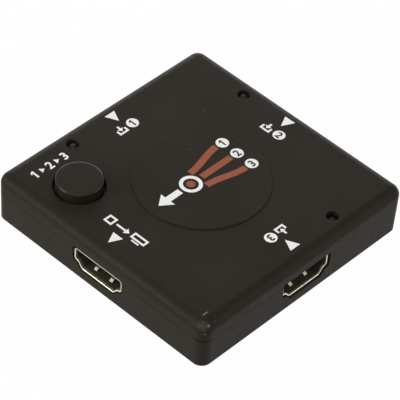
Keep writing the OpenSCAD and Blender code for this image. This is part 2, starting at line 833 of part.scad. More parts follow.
// Lead bent from a chip's side at height z down to a foot on the board, pointing along -Y
module bent_lead(width, z) {
    translate([0, 0, board_top]) extrude_wide(width) polygon([
        [0, z + chip_lead_t / 2],
        [-chip_lead_knee, z + chip_lead_t / 2],
        [-chip_lead_knee, chip_lead_t],
        [-chip_lead_reach, chip_lead_t],
        [-chip_lead_reach, 0],
        [chip_lead_t - chip_lead_knee, 0],
        [chip_lead_t - chip_lead_knee, z - chip_lead_t / 2],
        [0, z - chip_lead_t / 2]
    ]);
}

module lead_row(count, pitch, width, z) {
    for (i = [0 : count - 1]) translate([(i - (count - 1) / 2) * pitch, 0, 0]) bent_lead(width, z);
}

// Moulded chip body with a round mark pressed into the corner by its first lead
module chip_body(length, width, thickness) {
    top = board_top + chip_lift + thickness;
    difference() {
        translate([-length / 2, -width / 2, board_top + chip_lift]) cube([length, width, thickness]);
        translate([chip_mark_inset - length / 2, chip_mark_inset - width / 2, top - chip_mark_depth])
            cylinder(d = chip_mark_d, h = cut);
    }
}

module switching_chip() {
    color([0.08, 0.08, 0.085]) chip_body(chip_side, chip_side, chip_t);
}

module switching_chip_leads() {
    color([0.76, 0.76, 0.77]) for (turn = all_turns) at_side(turn) translate([0, -chip_side / 2, 0])
        lead_row(chip_leads, chip_pitch, chip_lead_w, chip_lift + chip_t / 2);
}

module control_chip() {
    color([0.08, 0.08, 0.085]) translate([control_at.x, control_at.y, 0])
        chip_body(control_size.x, control_size.y, control_t);
}

module control_chip_leads() {
    color([0.76, 0.76, 0.77]) translate([control_at.x, control_at.y, 0]) for (turn = [0, 180])
        at_side(turn) translate([0, -control_size.y / 2, 0])
            lead_row(control_lead_count, control_pitch, control_lead_w, chip_lift + control_t / 2);
}

module regulator() {
    color([0.08, 0.08, 0.085]) translate([regulator_at.x, regulator_at.y, 0])
        chip_body(regulator_size.x, regulator_size.y, regulator_t);
}

module regulator_leads() {
    color([0.76, 0.76, 0.77]) translate([regulator_at.x, regulator_at.y, 0]) {
        translate([0, -regulator_size.y / 2, 0])
            lead_row(regulator_lead_count, regulator_pitch, regulator_lead_w, chip_lift + regulator_t / 2);
        at_side(180) translate([0, -regulator_size.y / 2, 0])
            lead_row(1, regulator_pitch, regulator_tab_w, chip_lift + regulator_t / 2);
    }
}

// Small parts: each body sits on the board between its two metal ends

module part_body(size) {
    translate([end_len - size.x / 2, -size.y / 2, board_top]) cube([size.x - 2 * end_len, size.y, size.z]);
}

module part_ends(size) {
    for (x = [-size.x / 2, size.x / 2 - end_len])
        translate([x, -size.y / 2, board_top]) cube([end_len, size.y, size.z]);
}

module at_diodes() {
    for (turn = input_turns) at_side(turn) translate([diode_at.x, diode_at.y - case_half, 0]) children();
}

module at_ceramics() {
    for (turn = all_turns) at_side(turn) for (x = [-ceramic_at.x, ceramic_at.x])
        translate([x, -ceramic_at.y, 0]) children();
}

module at_resistors() {
    for (turn = all_turns) at_side(turn) for (i = [0 : resistor_count - 1])
        translate([(i - (resistor_count - 1) / 2) * resistor_pitch, -resistor_row, 0])
            rotate([0, 0, 90]) children();
}

module supply_diodes() {
    color([0.1, 0.1, 0.1]) at_diodes() part_body(diode_size);
}

module ceramic_capacitors() {
    color([0.6, 0.47, 0.33]) at_ceramics() part_body(ceramic_size);
}

module resistors() {
    color([0.06, 0.06, 0.07]) at_resistors() part_body(resistor_size);
}

module metal_ends() {
    color([0.76, 0.76, 0.77]) {
        at_diodes() part_ends(diode_size);
        at_ceramics() part_ends(ceramic_size);
        at_resistors() part_ends(resistor_size);
    }
}

module bulk_capacitor_can() {
    color([0.7, 0.7, 0.72]) translate([can_at.x, can_at.y, board_top + can_base_t])
        cylinder(d = can_d, h = can_h - can_base_t);
}

module bulk_capacitor_base() {
    color([0.09, 0.09, 0.095]) translate([can_at.x - can_d / 2, can_at.y - can_d / 2, board_top])
        cube([can_d, can_d, can_base_t]);
}

upper_shell();
lower_shell();
case_screws();
main_board();
input_1_socket_shell();
input_2_socket_shell();
input_3_socket_shell();
output_socket_shell();
input_1_socket_block();
input_2_socket_block();
input_3_socket_block();
output_socket_block();
input_1_socket_contacts();
input_2_socket_contacts();
input_3_socket_contacts();
output_socket_contacts();
select_button();
switch_base();
switch_cover();
switch_plunger();
switch_dome();
switch_terminals();
lamp_1();
lamp_2();
lamp_3();
lamp_leads();
switching_chip();
switching_chip_leads();
control_chip();
control_chip_leads();
regulator();
regulator_leads();
supply_diodes();
bulk_capacitor_can();
bulk_capacitor_base();
ceramic_capacitors();
resistors();
metal_ends();
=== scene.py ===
import math

import bmesh
import bpy
import numpy as np
from mathutils import Matrix, Vector


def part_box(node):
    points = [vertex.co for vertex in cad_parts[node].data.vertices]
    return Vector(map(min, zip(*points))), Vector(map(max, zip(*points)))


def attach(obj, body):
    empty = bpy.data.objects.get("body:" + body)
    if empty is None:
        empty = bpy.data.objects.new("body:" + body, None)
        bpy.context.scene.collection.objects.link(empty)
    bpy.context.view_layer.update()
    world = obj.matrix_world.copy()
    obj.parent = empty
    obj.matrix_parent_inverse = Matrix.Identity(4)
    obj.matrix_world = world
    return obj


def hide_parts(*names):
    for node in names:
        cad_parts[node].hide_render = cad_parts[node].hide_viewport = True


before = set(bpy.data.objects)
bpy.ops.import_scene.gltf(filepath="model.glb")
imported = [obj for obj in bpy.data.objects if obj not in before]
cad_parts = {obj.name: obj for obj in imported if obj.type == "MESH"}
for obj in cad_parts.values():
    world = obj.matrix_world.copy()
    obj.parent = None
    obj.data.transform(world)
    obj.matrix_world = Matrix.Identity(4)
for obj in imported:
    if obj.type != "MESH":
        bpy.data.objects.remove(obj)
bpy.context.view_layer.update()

# Lower shell: the tray of the case, moulded in dark warm grey plastic with a fine matt grain.
# Its posts carry the board, and the lip on its rim locates the upper shell at the parting line.
MM = 0.001
WELD = 0.0005 * MM
TOUCH = 0.01 * MM
FLAT_BEND, CREASE, SOFT_BEND = np.radians((0.4, 30, 32))
CASE_DARK = (0.0172, 0.0140, 0.0104, 1)
CASE_LIGHT = (0.0212, 0.0175, 0.0132, 1)
SHEEN_TINT = (1, 0.93, 0.78, 1)
GRAIN = 0.16 * MM
GRAIN_H = 0.012 * MM
NICK_TONE = (0.34, 0.32, 0.29, 1)
SCRATCH_AT = (-29.05 * MM, -29.15 * MM)
SCRATCH_BEND = 2.5 * MM
SCRATCH_LENGTH = 1.9 * MM
SCRATCH_W = 0.13 * MM
NICKS = (  # place and reach in millimetres, and the share of the pale tone
    ((-30.49, -31.68, 12.21), 0.45, 0.6), ((-31.65, -31.76, 10.53), 0.25, 0.5),
    ((-28.03, -31.03, 12.81), 0.20, 0.4), ((-28.67, -31.71, 12.31), 0.20, 0.4),
    ((-31.40, -30.90, 12.20), 1.50, 0.12),
)
# Tone of the painted shade along the seam on the output's side.
SEAM_SHADE_TONE = (0.006, 0.005, 0.004, 1)
SEAM_Z = 8 * MM
SEAM_FULL, SEAM_FADED = 0.04 * MM, 0.08 * MM
DUST_TONE = (0.25, 0.24, 0.22, 1)
DUST_SPACING = 6 * MM
DUST_SIZE = 0.16 * MM
EDGE_R = 2.7 * MM
WALL_DRAFT = 0.2 * MM
PAD_H = 0.25 * MM
OPENING_ROUND = 0.2 * MM
OPENING_REACH = 10 * MM
case_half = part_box("upper_shell")[1].x
pad_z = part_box("upper_shell")[1].z
roof_z = pad_z - PAD_H


def new_finish(name):
    """A node material, with its tree, its shader and the socket that gives a point's own place."""
    material = bpy.data.materials.new(name)
    material.use_nodes = True
    tree = material.node_tree
    place = tree.nodes.new("ShaderNodeTexCoord").outputs["Object"]
    return material, tree, tree.nodes["Principled BSDF"], place


def speckle(tree, place, size, detail=2.0):
    """Soft noise whose lumps are about the given size, from 0 to 1 around a half."""
    noise = tree.nodes.new("ShaderNodeTexNoise")
    noise.inputs["Scale"].default_value = 1 / size
    noise.inputs["Detail"].default_value = detail
    tree.links.new(place, noise.inputs["Vector"])
    return noise.outputs["Fac"]


def spread(tree, value, low, high, start=0.3, end=0.7):
    """The value carried from its span start..end to low..high, and held at those ends."""
    span = tree.nodes.new("ShaderNodeMapRange")
    for socket, number in (("From Min", start), ("From Max", end), ("To Min", low), ("To Max", high)):
        span.inputs[socket].default_value = number
    tree.links.new(value, span.inputs["Value"])
    return span.outputs["Result"]


def combined(tree, operation, *values):
    """One or two values through a step of arithmetic: a product, the larger, the smaller or a bare size."""
    node = tree.nodes.new("ShaderNodeMath")
    node.operation = operation
    for value, socket in zip(values, node.inputs):
        tree.links.new(value, socket)
    return node.outputs["Value"]


def mixed(tree, factor, low, high):
    """A colour between low and high; either may be a colour or another node's output."""
    mix = tree.nodes.new("ShaderNodeMix")
    mix.data_type = "RGBA"
    tree.links.new(factor, mix.inputs["Factor"])
    for socket, tone in ((mix.inputs[6], low), (mix.inputs[7], high)):
        if isinstance(tone, bpy.types.NodeSocket):
            tree.links.new(tone, socket)
        else:
            socket.default_value = tone
    return mix.outputs[2]


def raised(tree, shader, height, depth, strength):
    """Bump of the given depth from a height between 0 and 1."""
    bump = tree.nodes.new("ShaderNodeBump")
    bump.inputs["Strength"].default_value = strength
    bump.inputs["Distance"].default_value = depth
    tree.links.new(height, bump.inputs["Height"])
    tree.links.new(bump.outputs["Normal"], shader.inputs["Normal"])


def dust(tree, place):
    """Mask of round specks: the middles of scattered cells, kept in about one cell of four."""
    cells = tree.nodes.new("ShaderNodeTexVoronoi")
    cells.inputs["Scale"].default_value = 1 / DUST_SPACING
    tree.links.new(place, cells.inputs["Vector"])
    share = DUST_SIZE / DUST_SPACING
    near = spread(tree, cells.outputs["Distance"], 1, 0, share / 2, share)
    pick = tree.nodes.new("ShaderNodeSeparateColor")
    tree.links.new(cells.outputs["Color"], pick.inputs["Color"])
    kept = spread(tree, pick.outputs["Red"], 0, 1, 0.74, 0.76)
    return combined(tree, "MULTIPLY", near, kept)


def seam_dirt(tree, place):
    """Mask of painted shade in the seam: 1 along the parting line on the output's side, within a narrow span
    of heights.
    """
    parts = tree.nodes.new("ShaderNodeSeparateXYZ")
    tree.links.new(place, parts.inputs["Vector"])
    side = spread(tree, parts.outputs["X"], 1, 0, 1 * MM - case_half, 2 * MM - case_half)
    above = spread(tree, parts.outputs["Z"], 0, 1, SEAM_Z - SEAM_FADED, SEAM_Z - SEAM_FULL)
    below = spread(tree, parts.outputs["Z"], 1, 0, SEAM_Z + SEAM_FULL, SEAM_Z + SEAM_FADED)
    return combined(tree, "MULTIPLY", side, combined(tree, "MULTIPLY", above, below))


def apart(tree, place, point):
    """Distance of the surface from a fixed point."""
    measure = tree.nodes.new("ShaderNodeVectorMath")
    measure.operation = "DISTANCE"
    measure.inputs[1].default_value = point
    tree.links.new(place, measure.inputs[0])
    return measure.outputs["Value"]


def scratch(tree, place, middle):
    """Mask of a short curved line: a thin shell about a point that lies the bend radius from its middle."""
    reach = apart(tree, place, (middle[0], middle[1] - SCRATCH_BEND, middle[2]))
    outside = spread(tree, reach, 0, 1, SCRATCH_BEND - SCRATCH_W, SCRATCH_BEND)
    inside = spread(tree, reach, 1, 0, SCRATCH_BEND, SCRATCH_BEND + SCRATCH_W)
    along = spread(tree, apart(tree, place, middle), 1, 0, SCRATCH_LENGTH / 4, SCRATCH_LENGTH / 2)
    return combined(tree, "MULTIPLY", combined(tree, "MULTIPLY", outside, inside), along)


def matt_case_plastic():
    """Dark moulding with a spark-eroded grain: its tone drifts slowly, with a scratch and pale nicks on one
    corner, a few specks of dust and a dark line of painted shade along the seam on the output's side."""
    material, tree, shader, place = new_finish("matt_case_plastic")
    tone = mixed(tree, spread(tree, speckle(tree, place, 14 * MM), 0, 1), CASE_DARK, CASE_LIGHT)
    tone = mixed(tree, scratch(tree, place, (*SCRATCH_AT, roof_z)), tone, NICK_TONE)
    rubbed = spread(tree, speckle(tree, place, 0.25 * MM), 0.2, 1, 0.35, 0.65)
    for point, reach, share in NICKS:
        near = spread(tree, apart(tree, place, Vector(point) * MM), share, 0, 0.4 * reach * MM, reach * MM)
        tone = mixed(tree, combined(tree, "MULTIPLY", near, rubbed), tone, NICK_TONE)
    tone = mixed(tree, dust(tree, place), tone, DUST_TONE)
    # Painted shade: the seam on the output's side is darkened where its groove lies in shade.
    tone = mixed(tree, seam_dirt(tree, place), tone, SEAM_SHADE_TONE)
    tree.links.new(tone, shader.inputs["Base Color"])
    gloss = spread(tree, speckle(tree, place, 1.1 * MM), 0.42, 0.52)
    tree.links.new(gloss, shader.inputs["Roughness"])
    shader.inputs["Specular IOR Level"].default_value = 0.07
    shader.inputs["Specular Tint"].default_value = SHEEN_TINT
    raised(tree, shader, speckle(tree, place, GRAIN), GRAIN_H, 0.35)
    return material


def merged_copy(node):
    """The solid's loose triangles as one mesh: doubles merged, flat patches joined into single faces."""
    work = bmesh.new()
    work.from_mesh(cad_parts[node].data)
    bmesh.ops.remove_doubles(work, verts=work.verts[:], dist=WELD)
    bmesh.ops.dissolve_limit(work, angle_limit=FLAT_BEND, verts=work.verts[:], edges=work.edges[:])
    return work


def sharp_edges(work, chosen):
    """The sharp edges whose two ends both satisfy chosen(x, y, z)."""
    return [
        e for e in work.edges
        if e.is_manifold
        and e.calc_face_angle() > CREASE
        and all(chosen(*v.co) for v in e.verts)
    ]


def rounded(work, edges, radius):
    """Rounds the edges with three facets each."""
    bmesh.ops.bevel(
        work, geom=edges, offset=radius, segments=3, profile=0.5, affect="EDGES", clamp_overlap=False
    )


def finished_piece(work, name, material, body, replaced=()):
    """Puts the mesh in the scene: smooth but for its sharp edges, riding on its body."""
    for face in work.faces:
        face.smooth = True
    for edge in work.edges:
        edge.smooth = edge.is_manifold and edge.calc_face_angle() < SOFT_BEND
    mesh = bpy.data.meshes.new(name)
    work.to_mesh(mesh)
    work.free()
    mesh.materials.append(material)
    piece = bpy.data.objects.new(name, mesh)
    bpy.context.scene.collection.objects.link(piece)
    piece.modifiers.new("even_normals", "WEIGHTED_NORMAL").keep_sharp = True
    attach(piece, body)
    if replaced:
        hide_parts(*replaced)
    return piece


def on_outer_wall(x, y, z):
    """True near the sockets on the walls' outer faces, which lean in evenly from the top edges down."""
    wall = case_half - WALL_DRAFT * (1 - z / (roof_z - EDGE_R))
    return abs(max(abs(x), abs(y)) - wall) < TOUCH and min(abs(x), abs(y)) < OPENING_REACH


case_plastic = matt_case_plastic()
tray = merged_copy("lower_shell")
rounded(tray, sharp_edges(tray, on_outer_wall), OPENING_ROUND)
finished_piece(tray, "lower_shell_moulding", case_plastic, "case", ["lower_shell"])

# Case screws: four self-tapping pan heads of blackened steel, driven up into the upper shell's bosses.
# The head is pressed with a cross recess, and the thread is rolled on the shank.
HEAD_D = 3.6 * MM
HEAD_H = 0.9 * MM
HEAD_FACE_R = 0.42 * HEAD_D
HEAD_EDGE_R = HEAD_D / 2 - HEAD_FACE_R
CROWN = 0.12 * MM
THREAD_D = 2.0 * MM
CORE_D = 1.5 * MM
PITCH = 0.8 * MM
POINT = 1.6 * MM
TIP_SHARE = 0.12
RECESS_ARM = 1.05 * MM
RECESS_W = 0.5 * MM
RECESS_DEPTH = 0.5 * MM
SCREW_STEEL = (0.10, 0.10, 0.105, 1)
SCREW_WORN = (0.30, 0.30, 0.31, 1)


def grained_metal(name, dark, light, roughness, grain):
    """Plated or rolled metal: faint blotches of tone, with a fine grain in its roughness and relief."""
    material, tree, shader, place = new_finish(name)
    tone = mixed(tree, spread(tree, speckle(tree, place, 8 * grain), 0, 1), dark, light)
    tree.links.new(tone, shader.inputs["Base Color"])
    shader.inputs["Metallic"].default_value = 1
    gloss = spread(tree, speckle(tree, place, grain), 0.8 * roughness, 1.2 * roughness)
    tree.links.new(gloss, shader.inputs["Roughness"])
    raised(tree, shader, speckle(tree, place, grain), 0.004 * MM, 0.2)
    return material


def smooth_step(t):
    """0 before 0, 1 after 1, and 3t^2 - 2t^3 between."""
    t = np.clip(t, 0, 1)
    return t * t * (3 - 2 * t)


def grid_faces(rows, columns):
    """Corner indices of a grid's quads, with the last column joined to the first."""
    index = np.arange(rows * columns).reshape(rows, columns)
    upper, lower = index[:-1], index[1:]
    corners = [upper, np.roll(upper, -1, 1), np.roll(lower, -1, 1), lower]
    return np.stack(corners, axis=-1).reshape(-1, 4)


def grid_work(*grids):
    """Grids of points as one editable mesh, with poles and seams merged and faces turned outwards."""
    work = bmesh.new()
    for points in grids:
        mesh = bpy.data.meshes.new("grid")
        rows, columns = points.shape[:2]
        mesh.from_pydata(points.reshape(-1, 3), [], grid_faces(rows, columns))
        work.from_mesh(mesh)
        bpy.data.meshes.remove(mesh)
    bmesh.ops.remove_doubles(work, verts=work.verts[:], dist=WELD)
    bmesh.ops.recalc_face_normals(work, faces=work.faces[:])
    return work


def screw_points(x, y, low, high, steps=64):
    """Rows of (radius, height) round the axis, from the middle of the head's face to the tip.
    The face sinks by a cross: an arm's depth fades with the distance from its middle line and with
    the radius. On the shank the radius swings between core and thread with height / pitch - turn."""
    turn = np.linspace(0, 2 * np.pi, steps, endpoint=False)
    radius = np.linspace(0, HEAD_FACE_R, 28)[:, None]
    off_arm = radius * np.minimum(np.abs(np.cos(turn)), np.abs(np.sin(turn)))
    sunk = smooth_step((0.6 * RECESS_W - off_arm) / (0.2 * RECESS_W))
    sunk = sunk * smooth_step((RECESS_ARM - radius) / (0.3 * RECESS_ARM))
    crown = CROWN * (radius / HEAD_FACE_R) ** 2
    face = np.stack([radius + 0 * turn, crown + RECESS_DEPTH * sunk], axis=-1)
    bend = np.linspace(0, np.pi / 2, 7)[1:, None]
    rim = np.stack(
        [HEAD_FACE_R + HEAD_EDGE_R * np.sin(bend) + 0 * turn,
         CROWN + HEAD_EDGE_R * (1 - np.cos(bend)) + 0 * turn], axis=-1
    )
    seat = np.stack(
        [np.array([[HEAD_D / 2], [CORE_D / 2]]) + 0 * turn, HEAD_H + np.zeros((2, steps))], axis=-1
    )
    height = np.linspace(0, high - low - HEAD_H, 120)[:, None]
    wave = 0.5 + 0.5 * np.cos(2 * np.pi * height / PITCH - turn)
    start = smooth_step(height / PITCH)
    taper = np.clip((high - low - HEAD_H - height) / POINT, TIP_SHARE, 1)
    shank = taper * (CORE_D + (THREAD_D - CORE_D) * wave ** 2 * start) / 2
    thread = np.stack([shank, HEAD_H + height + 0 * turn], axis=-1)
    tip = np.stack([np.zeros((1, steps)), np.full((1, steps), high - low)], axis=-1)
    rows = np.concatenate([face, rim, seat, thread, tip])
    return np.stack(
        [x + rows[..., 0] * np.cos(turn), y + rows[..., 0] * np.sin(turn), low + rows[..., 1]], axis=-1
    )


screw_low, screw_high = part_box("case_screws")
screw_x = screw_high.x - HEAD_D / 2
screws = grid_work(*[
    screw_points(x, y, screw_low.z, screw_high.z)
    for x in (-screw_x, screw_x) for y in (-screw_x, screw_x)
])
black_steel = grained_metal("blackened_steel", SCREW_STEEL, SCREW_WORN, 0.38, 0.4 * MM)
finished_piece(screws, "case_screws_threaded", black_steel, "case", ["case_screws"])

# Circuit board: a sheet of glass laminate with copper tracks under green solder mask.
# It is clamped between the tray's posts and the lid's bosses, and every socket is soldered to it.
MASK_GREEN = (0.006, 0.060, 0.024, 1)
TRACK_GREEN = (0.014, 0.105, 0.045, 1)
LAMINATE = (0.30, 0.26, 0.13, 1)
TRACK_SPACING = 9 * MM
TRACK_H = 0.03 * MM


def dressed(node, material):
    """Gives a solid that keeps its own shape a finish."""
    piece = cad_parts[node]
    piece.data.materials.clear()
    piece.data.materials.append(material)


def green_board():
    """Solder mask over copper: tracks as a grid of raised lines, and the bare laminate on the cut edges."""
    material, tree, shader, place = new_finish("green_board")
    tracks = tree.nodes.new("ShaderNodeTexBrick")
    tracks.inputs["Scale"].default_value = 1 / TRACK_SPACING
    tracks.inputs["Mortar Size"].default_value = 0.035
    tracks.inputs["Mortar Smooth"].default_value = 0.3
    tree.links.new(place, tracks.inputs["Vector"])
    face = mixed(tree, tracks.outputs["Fac"], MASK_GREEN, TRACK_GREEN)
    normal = tree.nodes.new("ShaderNodeSeparateXYZ")
    tree.links.new(tree.nodes.new("ShaderNodeNewGeometry").outputs["Normal"], normal.inputs["Vector"])
    flat = combined(tree, "ABSOLUTE", normal.outputs["Z"])
    tone = mixed(tree, spread(tree, flat, 0, 1, 0.4, 0.6), LAMINATE, face)
    tree.links.new(tone, shader.inputs["Base Color"])
    tree.links.new(spread(tree, speckle(tree, place, 2 * MM), 0.28, 0.4), shader.inputs["Roughness"])
    raised(tree, shader, tracks.outputs["Fac"], TRACK_H, 0.4)
    return material


dressed("main_board", green_board())

# Sockets: a nickel-plated sheet bent round and butted under its middle, four fingers cut from it,
# a black moulded block with its tongue, and two rows of gold-plated contacts. Legs go into the board.
SIDES = ("input_1", "input_2", "input_3", "output")
SHEET_T = 0.3 * MM
LIP_ROUND = 0.14 * MM
# Painted shade deep inside the sockets: how far behind the wall it starts, how soft its edge is, and the
# half share left on the fingers in the middle.
PAINTED_SHADE_DEPTH = 0.85 * MM
PAINTED_SHADE_FADE = 0.15 * MM
FINGER_SIDE = 3.3 * MM
FINGER_PAINTED_SHADE = 0.5
NICKEL = (0.68, 0.66, 0.50, 1)
NICKEL_LIGHT = (0.80, 0.78, 0.62, 1)
# Dark brown, non-metal tone of the painted shade on the plate deep inside the socket.
NICKEL_PAINTED_SHADE = (0.050, 0.040, 0.030, 1)
GOLD = (0.72, 0.50, 0.17, 1)
GOLD_LIGHT = (0.85, 0.64, 0.28, 1)
BLOCK_BLACK = (0.012, 0.009, 0.007, 1)
BLOCK_GREY = (0.017, 0.014, 0.011, 1)


def plain_moulding(name, dark, light, roughness, grain):
    """Small unpainted moulding: two close tones and a fine moulded grain."""
    material, tree, shader, place = new_finish(name)
    tone = mixed(tree, spread(tree, speckle(tree, place, 20 * grain), 0, 1), dark, light)
    tree.links.new(tone, shader.inputs["Base Color"])
    gloss = spread(tree, speckle(tree, place, 6 * grain), roughness - 0.05, roughness + 0.05)
    tree.links.new(gloss, shader.inputs["Roughness"])
    raised(tree, shader, speckle(tree, place, grain), 0.006 * MM, 0.25)
    return material


def plated_sheet(floor_z):
    """Nickel plate in its own tone on the rim and on the fingers, with painted shade deep inside: where the
    larger of X and Y lies deep behind the wall, the plate is painted dark and non-metal, save for what rises
    off the sheet's own floor near the middle, which gets half of it."""
    material = grained_metal("nickel_plate", NICKEL, NICKEL_LIGHT, 0.32, 0.12 * MM)
    tree = material.node_tree
    shader = tree.nodes["Principled BSDF"]
    parts = tree.nodes.new("ShaderNodeSeparateXYZ")
    tree.links.new(tree.nodes["Texture Coordinate"].outputs["Object"], parts.inputs["Vector"])
    across = [combined(tree, "ABSOLUTE", parts.outputs[axis]) for axis in ("X", "Y")]
    start = case_half - PAINTED_SHADE_DEPTH
    inside = spread(tree, combined(tree, "MAXIMUM", *across), 1, 0, start - PAINTED_SHADE_FADE, start)
    flat = spread(tree, parts.outputs["Z"], 1, FINGER_PAINTED_SHADE, floor_z + 0.05 * MM, floor_z + 0.12 * MM)
    beside = spread(tree, combined(tree, "MINIMUM", *across), 0, 1, FINGER_SIDE, FINGER_SIDE + 0.1 * MM)
    # Painted shade: deep inside the socket the plate is darkened and loses its metal, the fingers half as
    # much.
    painted_shade = combined(tree, "MULTIPLY", inside, combined(tree, "MAXIMUM", flat, beside))
    bright = shader.inputs["Base Color"].links[0].from_socket
    tree.links.new(mixed(tree, painted_shade, bright, NICKEL_PAINTED_SHADE), shader.inputs["Base Color"])
    tree.links.new(spread(tree, painted_shade, 1, 0, 0, 1), shader.inputs["Metallic"])
    shader.inputs["Specular IOR Level"].default_value = 0.15
    return material


def inner_lip(work, rim):
    """The rim's sharp edges next to a face that looks towards the middle of the opening."""
    edges = sharp_edges(work, lambda x, y, z: max(abs(x), abs(y)) > rim - TOUCH)
    ends = np.array([vert.co for edge in edges for vert in edge.verts])
    middle = Vector((ends.min(0) + ends.max(0)) / 2)
    return [
        edge for edge in edges
        if any(face.normal.dot(middle - edge.verts[0].co) > 0.2 * MM for face in edge.link_faces)
    ]


nickel = plated_sheet(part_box("main_board")[1].z + SHEET_T)
gold = grained_metal("gold_plate", GOLD, GOLD_LIGHT, 0.22, 0.1 * MM)
socket_black = plain_moulding("socket_block_plastic", BLOCK_BLACK, BLOCK_GREY, 0.5, 0.1 * MM)
for side in SIDES:
    sheet = merged_copy(f"{side}_socket_shell")
    rim = max(max(abs(v.co.x), abs(v.co.y)) for v in sheet.verts)
    rounded(sheet, inner_lip(sheet, rim), LIP_ROUND)
    finished_piece(
        sheet, f"{side}_socket_sheet", nickel, "case", [f"{side}_socket_shell"]
    )
    dressed(f"{side}_socket_block", socket_black)
    dressed(f"{side}_socket_contacts", gold)

# Push switch: a black moulded base with a plunger over a steel snap dome, under a riveted cover plate.
# Its four tinned terminals are soldered into the board below the button.
SPRING_STEEL = (0.52, 0.52, 0.54, 1)
SPRING_STEEL_LIGHT = (0.64, 0.64, 0.66, 1)
TIN = (0.58, 0.58, 0.57, 1)
TIN_LIGHT = (0.70, 0.70, 0.69, 1)
switch_black = plain_moulding("switch_plastic", BLOCK_BLACK, BLOCK_GREY, 0.42, 0.08 * MM)
spring_steel = grained_metal("spring_steel", SPRING_STEEL, SPRING_STEEL_LIGHT, 0.3, 0.15 * MM)
tinned = grained_metal("tinned_copper", TIN, TIN_LIGHT, 0.35, 0.1 * MM)
for node in ("switch_base", "switch_plunger"):
    dressed(node, switch_black)
for node in ("switch_cover", "switch_dome"):
    dressed(node, spring_steel)
dressed("switch_terminals", tinned)

# Chips and small parts: black epoxy bodies with bent tinned leads, small blocks with tinned ends, some
# of tan ceramic, and one drawn aluminium can on its base. All of them are soldered to the board's top.
EPOXY = (0.008, 0.008, 0.0085, 1)
EPOXY_LIGHT = (0.014, 0.014, 0.0145, 1)
TAN = (0.28, 0.17, 0.09, 1)
TAN_LIGHT = (0.38, 0.25, 0.15, 1)
ALUMINIUM = (0.66, 0.66, 0.68, 1)
ALUMINIUM_LIGHT = (0.76, 0.76, 0.78, 1)
epoxy = plain_moulding("chip_epoxy", EPOXY, EPOXY_LIGHT, 0.55, 0.06 * MM)
ceramic = plain_moulding("fired_ceramic", TAN, TAN_LIGHT, 0.6, 0.08 * MM)
aluminium = grained_metal("drawn_aluminium", ALUMINIUM, ALUMINIUM_LIGHT, 0.25, 0.2 * MM)
for node in ("switching_chip", "control_chip", "regulator", "supply_diodes", "resistors"):
    dressed(node, epoxy)
for node in ("switching_chip_leads", "control_chip_leads", "regulator_leads", "metal_ends"):
    dressed(node, tinned)
dressed("ceramic_capacitors", ceramic)
dressed("bulk_capacitor_can", aluminium)
dressed("bulk_capacitor_base", epoxy)

# Indicator lamps: dark red resin cast round two tinned leads, with a domed tip and a flange at the foot.
# One stands on the board beside each input and ends a little below the roof, inside its hole.
LAMP_D = 2.8 * MM
LAMP_FLANGE_H = 1.0 * MM
LAMP_FLANGE_ROUND = 0.1 * MM
LAMP_DEEP = (0.012, 0.0045, 0.0040, 1)
LAMP_RED = (0.030, 0.0115, 0.0100, 1)


def revolved(profile, centre, steps=64):
    """Grid of points: the profile's radii and heights carried once round an upright axis."""
    turn = np.linspace(0, 2 * np.pi, steps, endpoint=False)
    radius, height = profile[:, :1], profile[:, 1:]
    return np.stack(
        [centre[0] + radius * np.cos(turn), centre[1] + radius * np.sin(turn), height + 0 * turn],
        axis=-1,
    )


def arc(middle, radius, start, end, steps=10):
    """Points of an arc about a middle, between two angles in degrees."""
    angle = np.radians(np.linspace(start, end, steps))
    return np.column_stack([middle[0] + radius * np.cos(angle), middle[1] + radius * np.sin(angle)])


def tinted_resin():
    """Dark red resin: cloudy in soft lumps, with a matt cast skin."""
    material, tree, shader, place = new_finish("tinted_resin")
    tone = mixed(tree, spread(tree, speckle(tree, place, 1.5 * MM), 0, 1), LAMP_DEEP, LAMP_RED)
    tree.links.new(tone, shader.inputs["Base Color"])
    tree.links.new(spread(tree, speckle(tree, place, 0.6 * MM), 0.35, 0.45), shader.inputs["Roughness"])
    shader.inputs["Specular IOR Level"].default_value = 0.25
    return material


resin = tinted_resin()
for number in (1, 2, 3):
    low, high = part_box(f"lamp_{number}")
    lamp_r, flange_top = LAMP_D / 2, low.z + LAMP_FLANGE_H
    edge_r = (high.x - low.x) / 2 - LAMP_FLANGE_ROUND
    profile = np.vstack([
        [[0, low.z]],
        arc((edge_r, low.z + LAMP_FLANGE_ROUND), LAMP_FLANGE_ROUND, -90, 0, 4),
        arc((edge_r, flange_top - LAMP_FLANGE_ROUND), LAMP_FLANGE_ROUND, 0, 90, 4),
        [[lamp_r, flange_top]],
        arc((0, high.z - lamp_r), lamp_r, 0, 90, 16),
    ])
    lamp = grid_work(revolved(profile, (low + high) / 2))
    finished_piece(lamp, f"lamp_{number}_resin", resin, "case", [f"lamp_{number}"])
dressed("lamp_leads", tinned)

# Upper shell: the lid of the case with its roof and round pad, in the same plastic and grain as the tray.
# Four bosses inside it take the screws, and the button and lamps come up through its roof.
LAMP_HOLE_ROUND = 0.15 * MM
BUTTON_HOLE_ROUND = 0.25 * MM
BUTTON_REACH = 7 * MM
PAD_ROUND = 0.22 * MM
PAD_REACH = 17 * MM
button_middle = sum(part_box("select_button"), Vector()) / 2


def on_button_hole(x, y, z):
    """True on the flat of the roof close round the button."""
    return abs(z - roof_z) < TOUCH and math.dist((x, y), button_middle[:2]) < BUTTON_REACH


def on_lamp_hole(x, y, z):
    """True on the flat of the roof away from the button and the pad, where the lamps' holes end."""
    away = math.dist((x, y), button_middle[:2]) > BUTTON_REACH and math.hypot(x, y) > PAD_REACH
    return abs(z - roof_z) < TOUCH and away


def on_pad(x, y, z):
    """True on the top of the pad."""
    return abs(z - pad_z) < TOUCH


